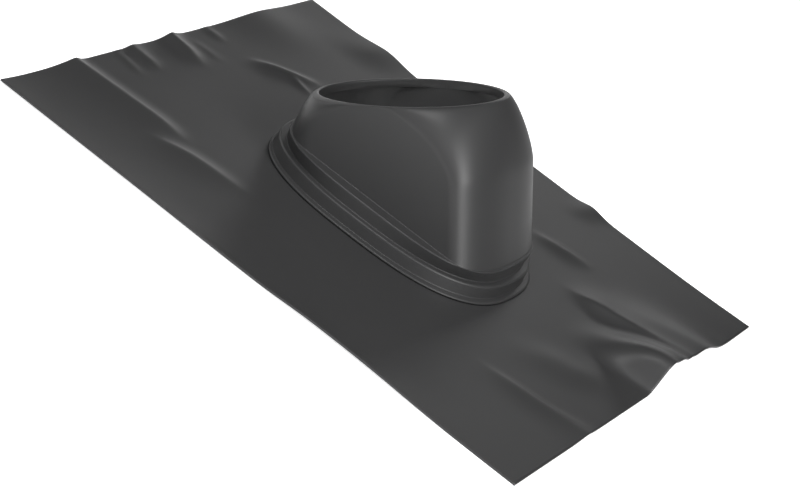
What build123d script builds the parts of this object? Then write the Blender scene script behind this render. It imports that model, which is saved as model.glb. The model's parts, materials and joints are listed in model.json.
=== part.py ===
from build123d import *
import os
from math import cos, hypot, pi, radians, sin

# Flue opening, in millimetres and degrees
opening_diameter = 170.0
rim_depth = 8.0
rim_wall = 3.4
roof_pitch = 32.0
back_lip_height = 26.15

# Hood body: its walls square to the flue, and how far under the rim they take their full shape
body_wall = 3.2
rim_straight = 0.5
front_bulge = 13.7
front_round = 29.0
front_squareness = 2.5
front_shoulder = 66.0
front_shoulder_fullness = 1.46
back_round = 27.4
back_squareness = 2.5
back_shoulder = 40.0
back_shoulder_fullness = 2.0
back_slope = 0.34

# Stepped oval collar, from the ledges round the body's foot down to the bead on the sheet
collar_wall = 2.2
collar_up_slope = 4.6
front_ledge = 2.49
back_ledge = 1.88
side_ledge = 16.2
body_seat = 0.5
top_squareness = 3.4
upper_height = 12.8
upper_draft_side = 0.5
upper_draft_end = 1.6
ledge_width = 7.0
lower_height = 15.2
lower_draft = 1.1
foot_squareness = 2.66
bead_side = 7.0
bead_front = 6.0
bead_back = 1.5
bead_height = 2.8
bond_gap = 0.05

# Flashing sheet, with a flat land where the collar is bonded to it
sheet_width = 636.0
sheet_length = 565.0
sheet_thickness = 1.5
land_margin = 6.0
land_fade = 70.0

# Waves of the sheet. Each has the rounding of its crest and stations along it: place across,
# distance in from the sheet's edge, height, and how far the wave reaches to the left and right.
back_waves = {
    "left_fold": (5, [(-190, -8, 4.6, 80, 34), (-180, 84, 4.6, 90, 34), (-175, 136, 0, 90, 34)]),
    "near_left_fold": (5, [(-220, 92, 0, 60, 34), (-199, 142, 3.8, 70, 34), (-180, 220, 0, 70, 34)]),
    "small_fold": (5, [(-106, -8, 0.3, 18, 14), (-112, 20, 0.7, 18, 14), (-118, 42, 0, 18, 14)]),
    "crease": (4, [(-80, -8, 2.6, 28, 50), (-80, 16, 2.2, 26, 30), (-80, 44, 0, 26, 30)]),
    "middle_fold": (5, [(-3, -8, 5.4, 44, 50), (-4, 14, 4.6, 44, 36), (-7, 54, 0, 44, 30)]),
    "second_fold": (6, [(24, 0, 0, 20, 18), (27, 26, 0.6, 20, 18), (30, 54, 0, 20, 18)]),
    "right_crease": (5, [(72, -8, 0.4, 22, 18), (73, 10, 1.0, 22, 18), (74, 30, 0, 22, 18)]),
    "diagonal_fold": (5, [(70, 46, 0, 44, 26), (101, 80, 4.0, 50, 26), (144, 122, 0, 44, 26)]),
    "branch_fold": (4, [(104, 84, 0, 22, 14), (102, 104, 1.8, 22, 14), (98, 128, 0, 22, 14)]),
    "far_swell": (60, [(182, -8, 3.4, 120, 110), (200, 100, 0, 120, 130)]),
}
front_waves = {
    "far_fold": (5, [(112, 10, 3.2, 24, 60), (107, 88, 8.0, 34, 90), (103, 160, 0, 44, 60)]),
    "far_fold_end": (5, [(112, -8, 3.2, 24, 60), (112, 10, 3.2, 24, 60)]),
    "far_slope": (60, [(157, -8, 16, 70, 110), (150, 130, 0, 60, 90)]),
    "front_hump": (60, [(68, -8, 27.4, 60, 128), (44, 112, 0, 60, 130)]),
    "front_step": (60, [(36, -8, 18, 18, 34), (30, 84, 0, 34, 44)]),
    "side_fold": (6, [(184, 132, 0, 44, 24), (175, 172, 3.2, 44, 24), (164, 220, 0, 44, 24)]),
    "near_fold": (5, [(-143, -8, 2.2, 60, 40), (-157, 50, 3.2, 48, 22), (-166, 132, 0, 48, 20)]),
    "middle_fold": (30, [(-24, 12, 0, 60, 60), (-54, 64, 2.4, 70, 60), (-84, 140, 0, 70, 60)]),
    "near_edge": (20, [(-330, 40, 0, 60, 80), (-330, 202, 3.8, 60, 80), (-330, 290, 1.2, 60, 80)]),
    "near_edge_end": (20, [(-330, 290, 1.2, 60, 80), (-330, 440, 2.0, 60, 80), (-330, 580, 2.2, 60, 80)]),
}
far_waves = {
    "back_bump": (20, [(182, -8, 4.4, 60, 62), (196, 90, 0, 60, 62)]),
    "front_bump": (12, [(-85, -8, 3.4, 36, 30), (-80, 60, 0, 34, 30)]),
    "front_corner": (40, [(-300, -8, 2.6, 110, 150), (-300, 80, 0, 110, 150)]),
}

# Fineness of the curves, and of the grid that carries the sheet's waves
oval_points = 36
cap_points = 16
dome_sections = 6
grid_across = 6.5
grid_along = 10.0

# Sizes that follow from the ones above; the feet of the body are where it meets the collar's
# top, up the slope from the middle of the opening
pitch_sin = sin(radians(roof_pitch))
pitch_cos = cos(radians(roof_pitch))
opening_radius = opening_diameter / 2
rim_radius = opening_radius + rim_wall
front_reach = rim_radius + front_bulge
seat_height = sheet_thickness + bond_gap
collar_height = lower_height + upper_height
collar_top = seat_height + collar_height
opening_height = collar_top + back_lip_height + rim_radius * pitch_sin
front_depth = (opening_height - collar_top + front_reach * pitch_sin) / pitch_cos
front_foot = -front_reach * pitch_cos - front_depth * pitch_sin
back_depth = back_lip_height / (pitch_cos + back_slope * pitch_sin)
back_foot = (rim_radius + back_slope * back_depth) * pitch_cos - back_depth * pitch_sin
top_half_width = rim_radius + side_ledge
top_half_length = (back_foot + back_ledge - front_foot + front_ledge) / 2
opening_up_slope = collar_up_slope - (back_foot + back_ledge + front_foot - front_ledge) / 2
flue_frame = Pos(0, opening_up_slope, opening_height) * Rot(-roof_pitch, 0, 0)
bore_reach = 2 * rim_depth
bead_sizes = (bead_side, (bead_front + bead_back) / 2)
bead_shift = (bead_back - bead_front) / 2
clear_span = 2 * (sheet_width + sheet_length)


def superellipse(angle, squareness):
    """Point of a unit superellipse in the direction of an angle."""
    reach = (abs(cos(angle)) ** squareness + abs(sin(angle)) ** squareness) ** (-1 / squareness)
    return reach * cos(angle), reach * sin(angle)


def oval(height, half_width, half_length, squareness, shift=0):
    """Flat oval face at a height above the collar's foot, shifted up the slope from its centre."""
    points = []
    for index in range(oval_points):
        across, along = superellipse(2 * pi * index / oval_points, squareness)
        y = collar_up_slope + shift + half_length * along
        points.append(Vector(half_width * across, y, seat_height + height))
    shares = [index / oval_points for index in range(oval_points + 1)]
    return Face(Wire([Edge.make_spline(points, periodic=True, parameters=shares)]))


def collar_levels(inset):
    """Half sizes of the collar at its foot, ledge and top, drawn in by an inset."""
    top = (top_half_width - inset, top_half_length - inset, top_squareness)
    ledge_inner = (top[0] + upper_draft_side, top[1] + upper_draft_end, foot_squareness)
    ledge_outer = (ledge_inner[0] + ledge_width, ledge_inner[1] + ledge_width, foot_squareness)
    foot = (ledge_outer[0] + lower_draft, ledge_outer[1] + lower_draft, foot_squareness)
    return foot, ledge_outer, ledge_inner, top


def between(low, high, lower_oval, upper_oval):
    """Solid between two ovals of the collar."""
    return Solid.make_loft([oval(low, *lower_oval).outer_wire(), oval(high, *upper_oval).outer_wire()], True)


def cap(side, half_width, start, reach, squareness, depth):
    """Rounded end of a body section, from one flat side round to the other."""
    points = []
    for index in range(cap_points + 1):
        across, along = superellipse(pi * index / cap_points, squareness)
        points.append(Vector(-side * half_width * across, side * (start + (reach - start) * along), -depth))
    return Edge.make_spline(points, parameters=[index / cap_points for index in range(cap_points + 1)])


def shoulder_rise(depth, shoulder, fullness):
    """Share of its full shape that the body has at a depth under the rim; 2 is a quarter round."""
    return (1 - (1 - min(depth / shoulder, 1)) ** fullness) ** (1 / fullness)


def body_section(depth, inset):
    """Section of the body square to the flue, at a depth under the rim, drawn in by an inset."""
    front_rise = shoulder_rise(depth, front_shoulder, front_shoulder_fullness)
    back_rise = shoulder_rise(depth, back_shoulder, back_shoulder_fullness)
    half_width = rim_radius - inset
    front = cap(
        -1,
        half_width,
        rim_straight + (front_reach - front_round - rim_straight) * front_rise,
        rim_radius + front_bulge * front_rise - inset,
        2 + (front_squareness - 2) * front_rise,
        depth,
    )
    back = cap(
        1,
        half_width,
        rim_straight + (rim_radius - back_round - rim_straight) * back_rise,
        rim_radius + back_slope * depth - inset,
        2 + (back_squareness - 2) * back_rise,
        depth,
    )
    right = Edge.make_line(front @ 0, back @ 1)
    left = Edge.make_line(back @ 0, front @ 1)
    return Face(Wire([front, right, back, left]))


def block(up_to):
    """Block wider than the whole tile, with its middle column above or under a level surface."""
    return Box(clear_span, clear_span, clear_span, align=(Align.CENTER, Align.CENTER, up_to))


def body(inset, floor, ceiling):
    """Solid of the body drawn in by an inset, down to a floor height and up to a depth under the rim."""
    turns = [pi / 2 * index / dome_sections for index in range(dome_sections + 1)]
    sections = [body_section(front_shoulder * (1 - cos(turn)), inset) for turn in turns]
    dome = Solid.make_loft([section.outer_wire() for section in sections])
    shaft_length = front_depth + front_reach
    whole = dome + extrude(sections[-1], amount=shaft_length, dir=(0, 0, -1))
    if ceiling > 0:
        whole -= Pos(0, 0, -ceiling) * block(Align.MIN)
    return flue_frame * whole - Pos(0, 0, floor) * block(Align.MAX)


def hood():
    """Moulded hood: foot bead, stepped collar, body and round opening, all one piece."""
    foot, ledge_outer, ledge_inner, top = collar_levels(0)
    bead = oval(0, foot[0] + bead_sizes[0], foot[1] + bead_sizes[1], foot_squareness, bead_shift)
    outside = extrude(bead, amount=bead_height)
    outside += between(0, lower_height, foot, ledge_outer)
    outside += between(lower_height - collar_wall, collar_height, ledge_inner, top)
    outside += body(0, collar_top - body_seat, 0)

    foot, ledge_outer, ledge_inner, top = collar_levels(collar_wall)
    inside = between(-collar_wall, lower_height - collar_wall, foot, ledge_outer)
    inside += between(lower_height - 2 * collar_wall, collar_height - collar_wall, ledge_inner, top)
    inside += body(body_wall, collar_top - collar_wall - body_seat, rim_depth)
    inside += flue_frame * Cylinder(opening_radius, 2 * bore_reach)
    return outside - inside


def land_distance(across, up_slope):
    """How far a point lies outside the oval of the foot bead, roughly, in millimetres."""
    foot = collar_levels(-bead_side)[0]
    x = abs(across) / foot[0]
    y = abs(up_slope - collar_up_slope) / foot[1]
    ratio = (x**foot_squareness + y**foot_squareness) ** (1 / foot_squareness)
    return (ratio - 1) * min(foot[0], foot[1])


def smooth(value):
    """Smooth rise from 0 to 1 as the value goes from 0 to 1, with no kink at either end."""
    value = min(max(value, 0), 1)
    return value**3 * (6 * value**2 - 15 * value + 10)


def wave_height(across, inward, wave):
    """Height of one wave of the sheet at a place across and a distance in from the wave's edge."""
    crest_round, stations = wave
    for start, end in zip(stations, stations[1:]):
        if start[1] <= inward < end[1]:
            share = (inward - start[1]) / (end[1] - start[1])
            offset = across - start[0] - (end[0] - start[0]) * share
            share = smooth(share)
            height, left, right = [low + (high - low) * share for low, high in zip(start[2:], end[2:])]
            reach = left if offset < 0 else right
            fall = (hypot(offset, crest_round) - crest_round) / (hypot(reach, crest_round) - crest_round)
            return height * (1 - min(fall, 1)) ** 3
    return 0.0


def sheet_lift(across, up_slope):
    """Height of the sheet's underside above the surface that it lies on."""
    from_back = sheet_length / 2 - up_slope
    from_front = sheet_length / 2 + up_slope
    from_far = sheet_width / 2 - across
    lift = sum(wave_height(across, from_back, wave) for wave in back_waves.values())
    lift += sum(wave_height(across, from_front, wave) for wave in front_waves.values())
    lift += sum(wave_height(up_slope, from_far, wave) for wave in far_waves.values())
    return lift * smooth((land_distance(across, up_slope) - land_margin) / land_fade)


def sheet_section(up_slope):
    """Closed outline of the sheet's cross section at a place up the slope."""
    columns = round(sheet_width / grid_across)
    shares = [column / columns for column in range(columns + 1)]
    underside = []
    for share in shares:
        across = sheet_width * (share - 0.5)
        underside.append(Vector(across, up_slope, sheet_lift(across, up_slope)))
    topside = [point + Vector(0, 0, sheet_thickness) for point in reversed(underside)]
    low = Edge.make_spline(underside, parameters=shares)
    high = Edge.make_spline(topside, parameters=shares)
    return Wire([low, Edge.make_line(low @ 1, high @ 0), high, Edge.make_line(high @ 1, low @ 0)])


def flashing_sheet():
    """Dressable sheet with its waves, and an oval hole under the hood."""
    rows = round(sheet_length / grid_along)
    sections = [sheet_section(sheet_length * (row / rows - 0.5)) for row in range(rows + 1)]
    slab = Solid.make_loft(sections, True)
    foot = collar_levels(collar_wall)[0]
    hole = extrude(oval(-2 * seat_height, *foot), amount=4 * seat_height)
    return slab - hole


os.makedirs("parts", exist_ok=True)
export_step(hood(), "parts/hood.step")
export_step(flashing_sheet(), "parts/flashing_sheet.step")
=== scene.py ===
import json
from math import cos, hypot, pi, sin

import bmesh
import bpy
from mathutils import Matrix, Vector


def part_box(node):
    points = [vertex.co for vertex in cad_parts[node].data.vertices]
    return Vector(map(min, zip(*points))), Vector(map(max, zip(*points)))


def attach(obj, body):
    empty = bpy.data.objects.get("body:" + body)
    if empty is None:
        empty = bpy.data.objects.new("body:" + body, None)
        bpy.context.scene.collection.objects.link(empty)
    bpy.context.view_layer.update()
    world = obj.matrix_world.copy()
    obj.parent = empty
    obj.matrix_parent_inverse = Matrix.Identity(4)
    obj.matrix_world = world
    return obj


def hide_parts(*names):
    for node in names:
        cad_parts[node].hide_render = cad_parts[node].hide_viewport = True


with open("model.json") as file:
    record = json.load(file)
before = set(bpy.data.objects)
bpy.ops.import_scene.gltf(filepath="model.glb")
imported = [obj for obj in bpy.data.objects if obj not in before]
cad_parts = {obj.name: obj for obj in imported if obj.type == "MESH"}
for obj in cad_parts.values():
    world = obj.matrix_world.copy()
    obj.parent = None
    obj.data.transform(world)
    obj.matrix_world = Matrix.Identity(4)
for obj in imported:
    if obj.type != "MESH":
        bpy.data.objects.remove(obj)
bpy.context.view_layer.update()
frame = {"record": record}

MM = 0.001

# The opening, from the record's mount, and the sheet's size, from the frame
opening_mount = next(mount for mount in frame["record"]["mounts"] if mount["name"] == "flue_opening")
opening_radius = opening_mount["dims"]["r_mm"] * MM
flue_axis = Vector(opening_mount["axis"]).normalized()
opening_length = opening_mount["dims"]["length_mm"] * MM
opening_centre = Vector(opening_mount["pos_m"]) + flue_axis * (opening_length / 2)
sheet_low, sheet_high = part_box("flashing_sheet")
sheet_width = sheet_high[0] - sheet_low[0]
sheet_length = sheet_high[1] - sheet_low[1]
slope_axis = Vector((0, flue_axis.z, -flue_axis.y))

# Hood body, in metres: walls square to the flue and how far under the rim they take full shape
rim_depth = 0.008
rim_wall = 0.0034
body_wall = 0.0032
rim_straight = 0.0005
front_bulge = 0.0137
front_round = 0.029
front_squareness = 2.5
front_shoulder = 0.066
front_shoulder_fullness = 1.46
back_round = 0.0274
back_squareness = 2.5
back_shoulder = 0.040
back_shoulder_fullness = 2.0
back_slope = 0.34
rim_radius = opening_radius + rim_wall
front_reach = rim_radius + front_bulge

# Stepped collar, in metres
collar_wall = 0.0022
collar_up_slope = 0.0046
front_ledge = 0.00249
back_ledge = 0.00188
side_ledge = 0.0162
top_squareness = 3.4
upper_height = 0.0128
upper_draft_side = 0.0005
upper_draft_end = 0.0016
ledge_width = 0.007
lower_height = 0.0152
lower_draft = 0.0011
foot_squareness = 2.66
bead_side = 0.007
bead_front = 0.006
bead_back = 0.0015
bead_height = 0.0028
sheet_thickness = 0.0015
bond_gap = 0.00005
seat_height = sheet_thickness + bond_gap
collar_height = lower_height + upper_height
collar_top = seat_height + collar_height
top_half_width = rim_radius + side_ledge

# Rounded edges of the moulding, in metres
lip_round = 0.0012
seat_fillet = 0.0010
top_round = 0.0016
ledge_round = 0.0018
ledge_fillet = 0.0010
foot_fillet = 0.0008
bead_round = 0.0024
inner_round = 0.0006

# Waves that run in from the sheet's back, front and far edges, in millimetres. Each has the rounding
# of its crest and stations along it: place along the edge, distance in from it, height, and how far
# the wave reaches to either side.
back_waves = {
    "left_fold": (5, [(-190, -8, 4.6, 80, 34), (-180, 84, 4.6, 90, 34), (-175, 136, 0, 90, 34)]),
    "near_left_fold": (5, [(-220, 92, 0, 60, 34), (-199, 142, 3.8, 70, 34), (-180, 220, 0, 70, 34)]),
    "small_fold": (5, [(-106, -8, 0.3, 18, 14), (-112, 20, 0.7, 18, 14), (-118, 42, 0, 18, 14)]),
    "crease": (4, [(-80, -8, 2.6, 28, 50), (-80, 16, 2.2, 26, 30), (-80, 44, 0, 26, 30)]),
    "middle_fold": (5, [(-3, -8, 5.4, 44, 50), (-4, 14, 4.6, 44, 36), (-7, 54, 0, 44, 30)]),
    "second_fold": (6, [(24, 0, 0, 20, 18), (27, 26, 0.6, 20, 18), (30, 54, 0, 20, 18)]),
    "right_crease": (5, [(72, -8, 0.4, 22, 18), (73, 10, 1.0, 22, 18), (74, 30, 0, 22, 18)]),
    "diagonal_fold": (5, [(70, 46, 0, 44, 26), (101, 80, 4.0, 50, 26), (144, 122, 0, 44, 26)]),
    "branch_fold": (4, [(104, 84, 0, 22, 14), (102, 104, 1.8, 22, 14), (98, 128, 0, 22, 14)]),
    "far_swell": (60, [(182, -8, 3.4, 120, 110), (200, 100, 0, 120, 130)]),
}
front_waves = {
    "far_fold": (5, [(112, 10, 3.2, 24, 60), (107, 88, 8.0, 34, 90), (103, 160, 0, 44, 60)]),
    "far_fold_end": (5, [(112, -8, 3.2, 24, 60), (112, 10, 3.2, 24, 60)]),
    "far_slope": (60, [(157, -8, 16, 70, 110), (150, 130, 0, 60, 90)]),
    "front_hump": (60, [(68, -8, 27.4, 60, 128), (44, 112, 0, 60, 130)]),
    "front_step": (60, [(36, -8, 18, 18, 34), (30, 84, 0, 34, 44)]),
    "side_fold": (6, [(184, 132, 0, 44, 24), (175, 172, 3.2, 44, 24), (164, 220, 0, 44, 24)]),
    "near_fold": (5, [(-143, -8, 2.2, 60, 40), (-157, 50, 3.2, 48, 22), (-166, 132, 0, 48, 20)]),
    "middle_fold": (30, [(-24, 12, 0, 60, 60), (-54, 64, 2.4, 70, 60), (-84, 140, 0, 70, 60)]),
    "near_edge": (20, [(-330, 40, 0, 60, 80), (-330, 202, 3.8, 60, 80), (-330, 290, 1.2, 60, 80)]),
    "near_edge_end": (
        20, [(-330, 290, 1.2, 60, 80), (-330, 440, 2.0, 60, 80), (-330, 580, 2.2, 60, 80)]
    ),
}
far_waves = {
    "back_bump": (20, [(182, -8, 4.4, 60, 62), (196, 90, 0, 60, 62)]),
    "front_bump": (12, [(-85, -8, 3.4, 36, 30), (-80, 60, 0, 34, 30)]),
    "front_corner": (40, [(-300, -8, 2.6, 110, 150), (-300, 80, 0, 110, 150)]),
}

# Flat land round the foot, in metres: its margin, and over what length the waves rise beyond it
land_margin = 0.006
land_fade = 0.070

# Surfaces: dull and light tint, and roughness. Clouds are a noise's scale, detail and roughness;
# grain and ripples are those three and a bump's strength and distance.
white = (1, 1, 1, 1)
surface_specular = 0.5
plastic_tints = ((0.0370, 0.0370, 0.0375, 1), (0.0410, 0.0410, 0.0415, 1))
plastic_roughness = 0.42
plastic_clouds = (9.0, 4.0, 0.55)
plastic_grain = (900.0, 2.0, 0.5, 0.06, 0.0002)
rubber_tints = ((0.0320, 0.0320, 0.0325, 1), (0.0390, 0.0390, 0.0395, 1))
rubber_roughness = 0.45
rubber_clouds = (6.0, 5.0, 0.6)
rubber_grain = (620.0, 3.0, 0.6, 0.15, 0.0003)
rubber_ripples = (14.0, 3.0, 0.5, 0.15, 0.001)

# Floor: looks, its glow as seen and as mirrored, half its side and its depth under the sheet in metres
floor_colour = (0.9, 0.9, 0.9, 1)
floor_roughness = 0.9
floor_specular = 0.0
floor_glow_seen = 0.75
floor_glow_mirrored = 0.43
floor_half = 8.0
floor_gap = 0.0005

# Strength of the world as a light; where it is seen, it has full strength
world_light = 0.04

# Softboxes: direction from the target, distance, width and height in metres, power in watts
light_target = Vector((0, 0, 0.05))
softboxes = {
    "top": ((-0.30, 0.22, 0.93), 2.4, 0.9, 0.5, 13),
    "front_strip": ((-0.24, -0.72, 0.65), 2.5, 1.3, 1.6, 38),
    "front_right": ((-0.55, -0.72, 0.36), 2.5, 1.3, 1.2, 16),
    "back_left": ((0.35, 0.85, 0.40), 2.6, 1.4, 1.0, 6),
    "back_low": ((0.93, 0.33, 0.12), 2.6, 1.6, 0.4, 3.8),
    "fill": ((-0.85, 0.05, 0.52), 2.6, 2.0, 1.6, 46),
}

# Camera, as the photograph was taken: place, directions, focal length and sensor in millimetres
camera_place = Vector((-2.72192, -0.68420, 1.10076))
camera_forward = Vector((0.90126, 0.22211, -0.37201))
camera_right = Vector((0.39550, -0.77236, 0.49702))
camera_up = Vector((0.17693, 0.59508, 0.78395))
camera_lens = 146.76
camera_sensor = 36
camera_range = 60

# Fineness of the meshes, and of the search for a height on the body's wall
cap_columns = 96
side_columns = 24
body_rows = 56
round_rows = 6
sheet_columns = 800
sheet_rows = 80
underside_step = 4
deepest = 0.4
halvings = 44
weld_distance = 0.01 * MM

# Largest shares of a profile's side, of the wall's last rows and of a ledge that a rounded edge takes,
# and the shortest length, in metres, that such a share is worked out from
most_of_side = 0.49
most_of_wall = 0.9
most_of_ledge = 0.4
least_span = 1e-9

# How much of a rounded edge's start and of its end goes into each of its rows
turns = [index / round_rows * pi / 2 for index in range(round_rows + 1)]
round_shares = [(1 - sin(turn), 1 - cos(turn)) for turn in turns]


def superellipse(angle, squareness):
    """Point of a unit superellipse in the direction of an angle."""
    reach = (abs(cos(angle)) ** squareness + abs(sin(angle)) ** squareness) ** (-1 / squareness)
    return reach * cos(angle), reach * sin(angle)


def shoulder_rise(depth, shoulder, fullness):
    """Share of its full shape that the body has at a depth under the rim; 2 is a quarter round."""
    return (1 - (1 - min(max(depth / shoulder, 0), 1)) ** fullness) ** (1 / fullness)


def body_place(column, depth, inset):
    """Point of the body's wall on a column, at a depth under the rim, drawn in by an inset."""
    half_width = rim_radius - inset
    front_rise = shoulder_rise(depth, front_shoulder, front_shoulder_fullness)
    back_rise = shoulder_rise(depth, back_shoulder, back_shoulder_fullness)
    front_start = rim_straight + (front_reach - front_round - rim_straight) * front_rise
    back_start = rim_straight + (rim_radius - back_round - rim_straight) * back_rise
    where, share = column
    if where == "front":
        across, along = superellipse(pi * share, 2 + (front_squareness - 2) * front_rise)
        reach = rim_radius + front_bulge * front_rise - inset
        x, y = half_width * across, -(front_start + (reach - front_start) * along)
    elif where == "back":
        across, along = superellipse(pi * share, 2 + (back_squareness - 2) * back_rise)
        reach = rim_radius + back_slope * min(depth, front_shoulder) - inset
        x, y = -half_width * across, back_start + (reach - back_start) * along
    else:
        side = 1 if where == "right" else -1
        start, end = (back_start, -front_start) if side > 0 else (-front_start, back_start)
        x, y = side * half_width, start + (end - start) * share
    return opening_centre + Vector((x, 0, 0)) + slope_axis * y - flue_axis * depth


def body_columns():
    """Columns round the body: its front cap, left side, back cap and right side."""
    counts = {"front": cap_columns, "left": side_columns, "back": cap_columns, "right": side_columns}
    return [(where, index / count) for where, count in counts.items() for index in range(count)]


def depth_at(column, height, inset):
    """Depth at which a column of the body comes down to a height above the sheet's underside."""
    low, high = 0.0, deepest
    for step in range(halvings):
        middle = (low + high) / 2
        if body_place(column, middle, inset).z > height:
            low = middle
        else:
            high = middle
    return (low + high) / 2


columns = body_columns()
foot_places = [body_place(column, depth_at(column, collar_top, 0), 0) for column in columns]
directions = [(place.x, place.y - collar_up_slope) for place in foot_places]
front_foot = min(place.y for place in foot_places)
back_foot = max(place.y for place in foot_places)
top_half_length = (back_foot + back_ledge - front_foot + front_ledge) / 2


def oval_place(direction, half_width, half_length, squareness, height, shift=0.0):
    """Point of an oval in a direction seen from its centre, which is shifted up from the collar's."""
    x, y = direction
    scale = (abs(x / half_width) ** squareness + abs(y / half_length) ** squareness) ** (-1 / squareness)
    return Vector((x * scale, collar_up_slope + shift + y * scale, seat_height + height))


def mixed(first, second, share):
    """Value part of the way from one tuple of numbers to another."""
    return tuple(a + (b - a) * share for a, b in zip(first, second))


def rounded(before, corner, after, radius):
    """Stations of a rounded corner of a profile, as tuples of oval sizes, height and shift."""
    back_length = hypot(before[0] - corner[0], before[3] - corner[3])
    ahead_length = hypot(after[0] - corner[0], after[3] - corner[3])
    start = mixed(corner, before, min(radius / back_length, most_of_side))
    end = mixed(corner, after, min(radius / ahead_length, most_of_side))
    return [
        tuple(c + (s - c) * early + (e - c) * late for s, c, e in zip(start, corner, end))
        for early, late in round_shares
    ]


def collar_corners(inset):
    """Corners of the collar's profile: half width, half length, squareness, height and shift of each."""
    top = (top_half_width - inset, top_half_length - inset, top_squareness, collar_height, 0.0)
    inner_width, inner_length = top[0] + upper_draft_side, top[1] + upper_draft_end
    outer_width, outer_length = inner_width + ledge_width, inner_length + ledge_width
    ledge_inner = (inner_width, inner_length, foot_squareness, lower_height, 0.0)
    ledge_outer = (outer_width, outer_length, foot_squareness, lower_height, 0.0)
    foot = (outer_width + lower_draft, outer_length + lower_draft, foot_squareness, 0.0, 0.0)
    return top, ledge_inner, ledge_outer, foot


def collar_loop(station):
    """Loop of points round the collar at one station of its profile."""
    return [oval_place(direction, *station) for direction in directions]


def corner_loops(starts, corners, ends):
    """Loops of a rounded edge between three loops: its start, its sharp corner and its end."""
    return [
        [
            corner + (start - corner) * early + (end - corner) * late
            for start, corner, end in zip(starts, corners, ends)
        ]
        for early, late in round_shares
    ]


def toward(places, targets, distance, most):
    """Points moved from places towards targets by a distance, at most a share of the way."""
    moved = []
    for place, target in zip(places, targets):
        span = (target - place).length
        moved.append(place + (target - place) * min(distance / max(span, least_span), most))
    return moved


def body_loops(inset, start_depth, floor_height, rows):
    """Loops down the body's wall, from a depth under the rim to a height above the sheet's underside."""
    ends = [depth_at(column, floor_height, inset) for column in columns]
    loops = []
    for row in range(rows + 1):
        share = 1 - cos(pi / 2 * row / rows)
        loops.append([
            body_place(column, start_depth + (end - start_depth) * share, inset)
            for column, end in zip(columns, ends)
        ])
    return loops


def bore_loop(depth, radius):
    """Circle of the flue opening at a depth under the rim."""
    loop = []
    for column in columns:
        offset = body_place(column, 0, rim_wall) - opening_centre
        loop.append(opening_centre + offset.normalized() * radius - flue_axis * depth)
    return loop


def hood_loops():
    """Loops of the whole moulding, from the lip down the outside, under the foot and up the inside."""
    loops = corner_loops(
        bore_loop(0, opening_radius + rim_wall / 2),
        [body_place(column, 0, 0) for column in columns],
        [body_place(column, lip_round, 0) for column in columns],
    )[1:]
    wall = body_loops(0, lip_round, collar_top, body_rows)
    seat = wall[-1]
    top, ledge_inner, ledge_outer, foot = collar_corners(0)
    top_corners = collar_loop(top)
    seat_starts = toward(seat, wall[-3], seat_fillet, most_of_wall)
    seat_ends = toward(seat, top_corners, seat_fillet, most_of_ledge)
    loops += wall[1:-3]
    loops += corner_loops(seat_starts, seat, seat_ends)
    top_starts = toward(top_corners, seat, top_round, most_of_ledge)
    top_ends = collar_loop(mixed(top, ledge_inner, top_round / upper_height))
    loops += corner_loops(top_starts, top_corners, top_ends)
    bead_inner = mixed(foot, ledge_outer, bead_height / lower_height)
    bead_length = foot[1] + (bead_front + bead_back) / 2
    bead_shift = (bead_back - bead_front) / 2
    bead_outer = (foot[0] + bead_side, bead_length, foot_squareness, bead_height, bead_shift)
    bead_foot = bead_outer[:3] + (0.0, bead_shift)
    profile = [mixed(top, ledge_inner, 0.5)]
    profile += rounded(top, ledge_inner, ledge_outer, ledge_fillet)
    profile += rounded(ledge_inner, ledge_outer, bead_inner, ledge_round)
    profile += [mixed(ledge_outer, bead_inner, 0.5)]
    profile += rounded(ledge_outer, bead_inner, bead_outer, foot_fillet)
    profile += rounded(bead_inner, bead_outer, bead_foot, bead_round)
    profile += [bead_foot]

    top, ledge_inner, ledge_outer, foot = collar_corners(collar_wall)
    under_top = top[:3] + (collar_height - collar_wall, 0.0)
    under_inner = ledge_inner[:3] + (lower_height - collar_wall, 0.0)
    under_outer = ledge_outer[:3] + (lower_height - collar_wall, 0.0)
    profile += [foot]
    profile += rounded(foot, under_outer, under_inner, inner_round)
    profile += rounded(under_outer, under_inner, under_top, inner_round)
    loops += [collar_loop(station) for station in profile]
    under_corners = collar_loop(under_top)
    inner_wall = body_loops(body_wall, rim_depth, collar_top - collar_wall, body_rows)
    loops += corner_loops(
        collar_loop(mixed(under_top, under_inner, inner_round / upper_height)),
        under_corners,
        toward(under_corners, inner_wall[-1], inner_round, most_of_ledge),
    )
    loops += list(reversed(inner_wall))
    loops += [bore_loop(rim_depth, opening_radius)]
    loops += corner_loops(
        bore_loop(lip_round, opening_radius),
        bore_loop(0, opening_radius),
        bore_loop(0, opening_radius + rim_wall / 2),
    )
    return loops


def ring_mesh(name, loops):
    """Closed mesh of loops that are joined one to the next and the last to the first."""
    count = len(loops[0])
    places = [place for loop in loops for place in loop]
    faces = []
    for row in range(len(loops)):
        here, after = row * count, (row + 1) % len(loops) * count
        for column in range(count):
            side = (column + 1) % count
            faces.append((here + column, here + side, after + side, after + column))
    mesh = bpy.data.meshes.new(name)
    mesh.from_pydata(places, [], faces)
    mesh.update()
    return mesh


def put(name, mesh, material):
    """Adds a mesh to the scene as a smooth piece of one material."""
    shape = bmesh.new()
    shape.from_mesh(mesh)
    bmesh.ops.remove_doubles(shape, verts=shape.verts, dist=weld_distance)
    bmesh.ops.recalc_face_normals(shape, faces=shape.faces)
    shape.to_mesh(mesh)
    shape.free()
    mesh.polygons.foreach_set("use_smooth", [True] * len(mesh.polygons))
    mesh.materials.append(material)
    piece = bpy.data.objects.new(name, mesh)
    bpy.context.scene.collection.objects.link(piece)
    return piece


def smooth(value):
    """Smooth rise from 0 to 1 as the value goes from 0 to 1, with no kink at either end."""
    value = min(max(value, 0), 1)
    return value**3 * (6 * value**2 - 15 * value + 10)


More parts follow.
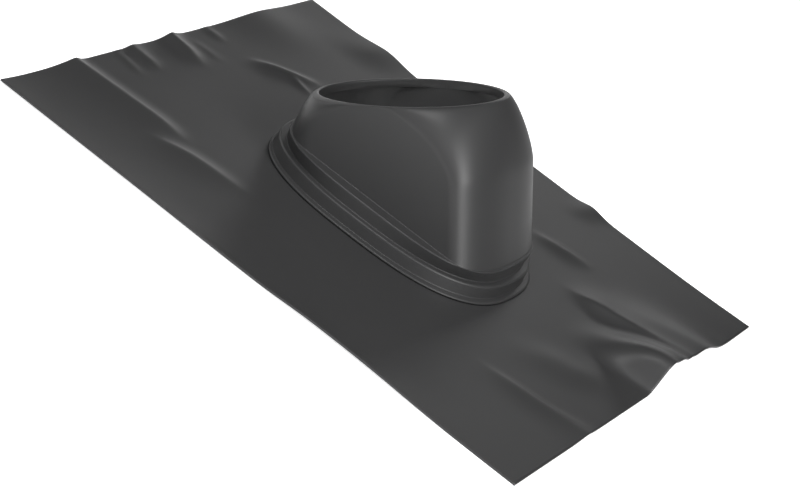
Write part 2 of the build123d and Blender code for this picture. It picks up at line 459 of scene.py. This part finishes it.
def wave_height(across, inward, wave):
    """Height of one wave of the sheet, in millimetres, at a place given in millimetres."""
    crest_round, stations = wave
    for start, end in zip(stations, stations[1:]):
        if start[1] <= inward < end[1]:
            share = (inward - start[1]) / (end[1] - start[1])
            offset = across - start[0] - (end[0] - start[0]) * share
            share = smooth(share)
            height, left, right = [low + (high - low) * share for low, high in zip(start[2:], end[2:])]
            reach = left if offset < 0 else right
            fall = (hypot(offset, crest_round) - crest_round) / (hypot(reach, crest_round) - crest_round)
            return height * (1 - min(fall, 1)) ** 3
    return 0.0


def land_distance(x, y):
    """How far a point lies outside the oval of the foot bead, roughly."""
    foot = collar_corners(-bead_side)[3]
    across = abs(x / foot[0]) ** foot_squareness
    along = abs((y - collar_up_slope) / foot[1]) ** foot_squareness
    return ((across + along) ** (1 / foot_squareness) - 1) * min(foot[0], foot[1])


def sheet_lift(x, y):
    """Height of the sheet's underside above its flat land."""
    across = x / MM
    from_back = (sheet_length / 2 - y) / MM
    from_front = (sheet_length / 2 + y) / MM
    from_far = (sheet_width / 2 - x) / MM
    lift = sum(wave_height(across, from_back, wave) for wave in back_waves.values())
    lift += sum(wave_height(across, from_front, wave) for wave in front_waves.values())
    lift += sum(wave_height(y / MM, from_far, wave) for wave in far_waves.values())
    return lift * MM * smooth((land_distance(x, y) - land_margin) / land_fade)


def rectangle_places():
    """Points round the sheet's edge, with one on each corner."""
    half_width, half_length = sheet_width / 2, sheet_length / 2
    corners = [
        Vector((-half_width, -half_length)),
        Vector((half_width, -half_length)),
        Vector((half_width, half_length)),
        Vector((-half_width, half_length)),
    ]
    per_side = sheet_columns // 4
    places = []
    for index, corner in enumerate(corners):
        following = corners[(index + 1) % 4]
        places += [corner.lerp(following, step / per_side) for step in range(per_side)]
    return places


def sheet_loops():
    """Loops of the sheet: out from the hole over the top, round the edge and back underneath."""
    hole = collar_corners(collar_wall)[3]
    centre = Vector((0, collar_up_slope))
    edge = rectangle_places()
    inner = [oval_place(place - centre, *hole).to_2d() for place in edge]
    lifted = []
    for row in range(sheet_rows + 1):
        places = [start.lerp(end, row / sheet_rows) for start, end in zip(inner, edge)]
        lifted.append([Vector((place.x, place.y, sheet_lift(place.x, place.y))) for place in places])
    rise = Vector((0, 0, sheet_thickness))
    top = [[place + rise for place in loop] for loop in lifted]
    return top + list(reversed(lifted[::underside_step]))


def node_of(tree, kind, **values):
    """Adds a shader node and sets its sockets by name."""
    node = tree.nodes.new(kind)
    for name, value in values.items():
        node.inputs[name].default_value = value
    return node


def noise_of(tree, place, scale, detail, roughness):
    """Adds a noise that lies on the object."""
    noise = node_of(tree, "ShaderNodeTexNoise", Scale=scale, Detail=detail, Roughness=roughness)
    tree.links.new(place.outputs["Object"], noise.inputs["Vector"])
    return noise


def shaded(name, roughness, specular):
    """New material with its node tree and its surface shader."""
    material = bpy.data.materials.new(name)
    material.use_nodes = True
    shader = material.node_tree.nodes["Principled BSDF"]
    shader.inputs["Roughness"].default_value = roughness
    shader.inputs["Specular IOR Level"].default_value = specular
    return material, material.node_tree, shader


def clouded(tree, place, shader, tints, clouds):
    """Colours a surface in soft clouds between two tints."""
    noise = noise_of(tree, place, *clouds)
    tint = tree.nodes.new("ShaderNodeMix")
    tint.data_type = "RGBA"
    tint.inputs["A"].default_value, tint.inputs["B"].default_value = tints
    tree.links.new(noise.outputs["Fac"], tint.inputs["Factor"])
    tree.links.new(tint.outputs["Result"], shader.inputs["Base Color"])


def bumped(tree, place, scale, detail, roughness, strength, distance):
    """Bump node of a noise in the surface's height."""
    noise = noise_of(tree, place, scale, detail, roughness)
    bump = node_of(tree, "ShaderNodeBump", Strength=strength, Distance=distance)
    tree.links.new(noise.outputs["Fac"], bump.inputs["Height"])
    return bump


def plastic():
    """Satin anthracite moulding with a very fine grain."""
    material, tree, shader = shaded("hood_plastic", plastic_roughness, surface_specular)
    place = tree.nodes.new("ShaderNodeTexCoord")
    clouded(tree, place, shader, plastic_tints, plastic_clouds)
    grain = bumped(tree, place, *plastic_grain)
    tree.links.new(grain.outputs["Normal"], shader.inputs["Normal"])
    return material


def rubber():
    """Dull anthracite sheet with a fine grain and faint unevenness from handling."""
    material, tree, shader = shaded("sheet_rubber", rubber_roughness, surface_specular)
    place = tree.nodes.new("ShaderNodeTexCoord")
    clouded(tree, place, shader, rubber_tints, rubber_clouds)
    grain = bumped(tree, place, *rubber_grain)
    ripples = bumped(tree, place, *rubber_ripples)
    tree.links.new(grain.outputs["Normal"], ripples.inputs["Normal"])
    tree.links.new(ripples.outputs["Normal"], shader.inputs["Normal"])
    return material


def scaled(tree, source, factor, added):
    """Math node that gives a socket's value times a factor, plus a number."""
    node = tree.nodes.new("ShaderNodeMath")
    node.operation = "MULTIPLY_ADD"
    node.inputs[1].default_value = factor
    node.inputs[2].default_value = added
    tree.links.new(source, node.inputs[0])
    return node


def floor_material():
    """Plain pale floor, clear when it is seen from underneath."""
    material, tree, shader = shaded("floor", floor_roughness, floor_specular)
    shader.inputs["Base Color"].default_value = floor_colour
    shader.inputs["Emission Color"].default_value = white
    path = tree.nodes.new("ShaderNodeLightPath")
    seen = scaled(tree, path.outputs["Is Camera Ray"], floor_glow_seen, 0.0)
    mirrored = scaled(tree, path.outputs["Is Glossy Ray"], floor_glow_mirrored, 0.0)
    tree.links.new(seen.outputs["Value"], mirrored.inputs[2])
    tree.links.new(mirrored.outputs["Value"], shader.inputs["Emission Strength"])
    geometry = tree.nodes.new("ShaderNodeNewGeometry")
    clear = tree.nodes.new("ShaderNodeBsdfTransparent")
    sides = tree.nodes.new("ShaderNodeMixShader")
    tree.links.new(geometry.outputs["Backfacing"], sides.inputs["Fac"])
    tree.links.new(shader.outputs["BSDF"], sides.inputs[1])
    tree.links.new(clear.outputs["BSDF"], sides.inputs[2])
    tree.links.new(sides.outputs["Shader"], tree.nodes["Material Output"].inputs["Surface"])
    return material


def floor_object():
    """Square floor that lies level with the sheet."""
    mesh = bpy.data.meshes.new("floor")
    corners = ((-1, -1), (1, -1), (1, 1), (-1, 1))
    places = [(x * floor_half, y * floor_half, -floor_gap) for x, y in corners]
    mesh.from_pydata(places, [], [(0, 1, 2, 3)])
    mesh.materials.append(floor_material())
    return bpy.data.objects.new("floor", mesh)


def facing(right, up, back, place):
    """Matrix of an object at a place, from its three directions."""
    return Matrix((
        (right.x, up.x, back.x, place.x),
        (right.y, up.y, back.y, place.y),
        (right.z, up.z, back.z, place.z),
        (0, 0, 0, 1),
    ))


def add_camera():
    """Camera that looks as the photograph does."""
    camera = bpy.data.objects.new("camera", bpy.data.cameras.new("camera"))
    camera.data.lens = camera_lens
    camera.data.sensor_width = camera_sensor
    camera.data.clip_end = camera_range
    camera.matrix_world = facing(camera_right, camera_up, -camera_forward, camera_place)
    bpy.context.scene.collection.objects.link(camera)
    bpy.context.scene.camera = camera


def softbox(name, direction, distance, width, height, power):
    """Rectangular light that looks at the object from a direction, with its width level."""
    direction = Vector(direction).normalized()
    across = flue_axis.cross(direction).normalized()
    data = bpy.data.lights.new(name, "AREA")
    data.shape = "RECTANGLE"
    data.size = width
    data.size_y = height
    data.energy = power
    light = bpy.data.objects.new(name, data)
    place = light_target + direction * distance
    light.matrix_world = facing(across, direction.cross(across), direction, place)
    light.visible_camera = False
    bpy.context.scene.collection.objects.link(light)
    return light


def add_world():
    """World that is dim as a light and white where it is seen."""
    world = bpy.data.worlds.new("world")
    bpy.context.scene.world = world
    world.use_nodes = True
    tree = world.node_tree
    background = tree.nodes["Background"]
    background.inputs["Color"].default_value = white
    path = tree.nodes.new("ShaderNodeLightPath")
    glow = scaled(tree, path.outputs["Is Camera Ray"], 1 - world_light, world_light)
    tree.links.new(glow.outputs["Value"], background.inputs["Strength"])


# Hood
hood = put("hood_shell", ring_mesh("hood_shell", hood_loops()), plastic())
weights = hood.modifiers.new("weights", "WEIGHTED_NORMAL")
weights.keep_sharp = True
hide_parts("hood")
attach(hood, "root")

# Sheet
sheet = put("flashing", ring_mesh("flashing", sheet_loops()), rubber())
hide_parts("flashing_sheet")
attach(sheet, "root")

# Floor, camera and studio light; the fill lights the surfaces without a reflection of its own
floor = floor_object()
bpy.context.scene.collection.objects.link(floor)
add_camera()
lights = {name: softbox(name, *values) for name, values in softboxes.items()}
lights["fill"].visible_glossy = False
add_world()
bpy.context.scene.view_settings.view_transform = "Standard"
